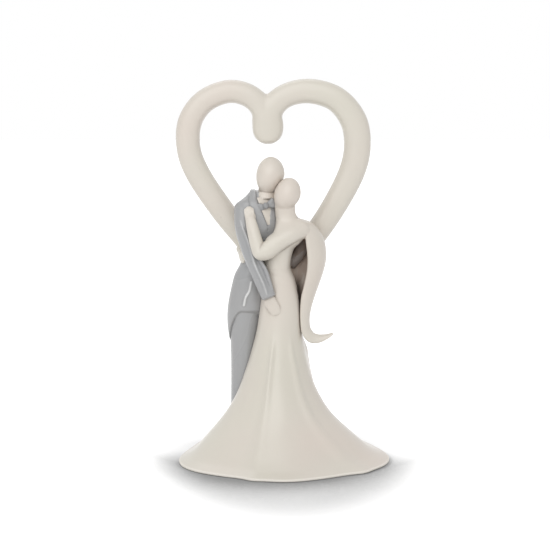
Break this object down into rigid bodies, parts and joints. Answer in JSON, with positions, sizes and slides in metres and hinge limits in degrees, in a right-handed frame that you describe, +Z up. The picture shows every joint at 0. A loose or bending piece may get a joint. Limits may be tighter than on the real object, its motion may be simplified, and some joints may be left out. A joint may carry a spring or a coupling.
{
  "type": "wedding couple figurine",
  "caption": "Glazed porcelain figurine of an embracing bride and groom before an open heart, on a wide hollow trumpet skirt that is its foot.",
  "frame": {"origin": "middle of the foot, on the surface that the figurine stands on", "axes": "+Z up, -Y towards the viewer of the picture, +X to the right of the picture (the bride's back)"},
  "size_m": [0.1076, 0.1004, 0.1899],
  "materials": {
    "cream_glaze": "soft gloss cream glaze",
    "grey_glaze": "soft gloss pale grey glaze"
  },
  "bodies": {
    "root": {"skirt": "cream_glaze", "bodice": "cream_glaze", "groom_head": "cream_glaze", "bride_head": "cream_glaze", "jacket": "grey_glaze", "near_trouser_leg": "grey_glaze", "far_trouser_leg": "grey_glaze", "shirt_collar": "cream_glaze", "shirt_front": "cream_glaze", "near_lapel": "grey_glaze", "far_lapel": "grey_glaze", "bow_tie": "grey_glaze", "near_sleeve": "grey_glaze", "groom_near_hand": "cream_glaze", "bride_near_arm": "cream_glaze", "bride_near_hand": "cream_glaze", "far_sleeve": "grey_glaze", "groom_far_hand": "cream_glaze", "bride_far_arm": "cream_glaze", "bride_far_hand": "cream_glaze", "shawl": "cream_glaze", "heart_left_limb": "cream_glaze", "heart_right_limb": "cream_glaze"}
  },
  "joints": []
}
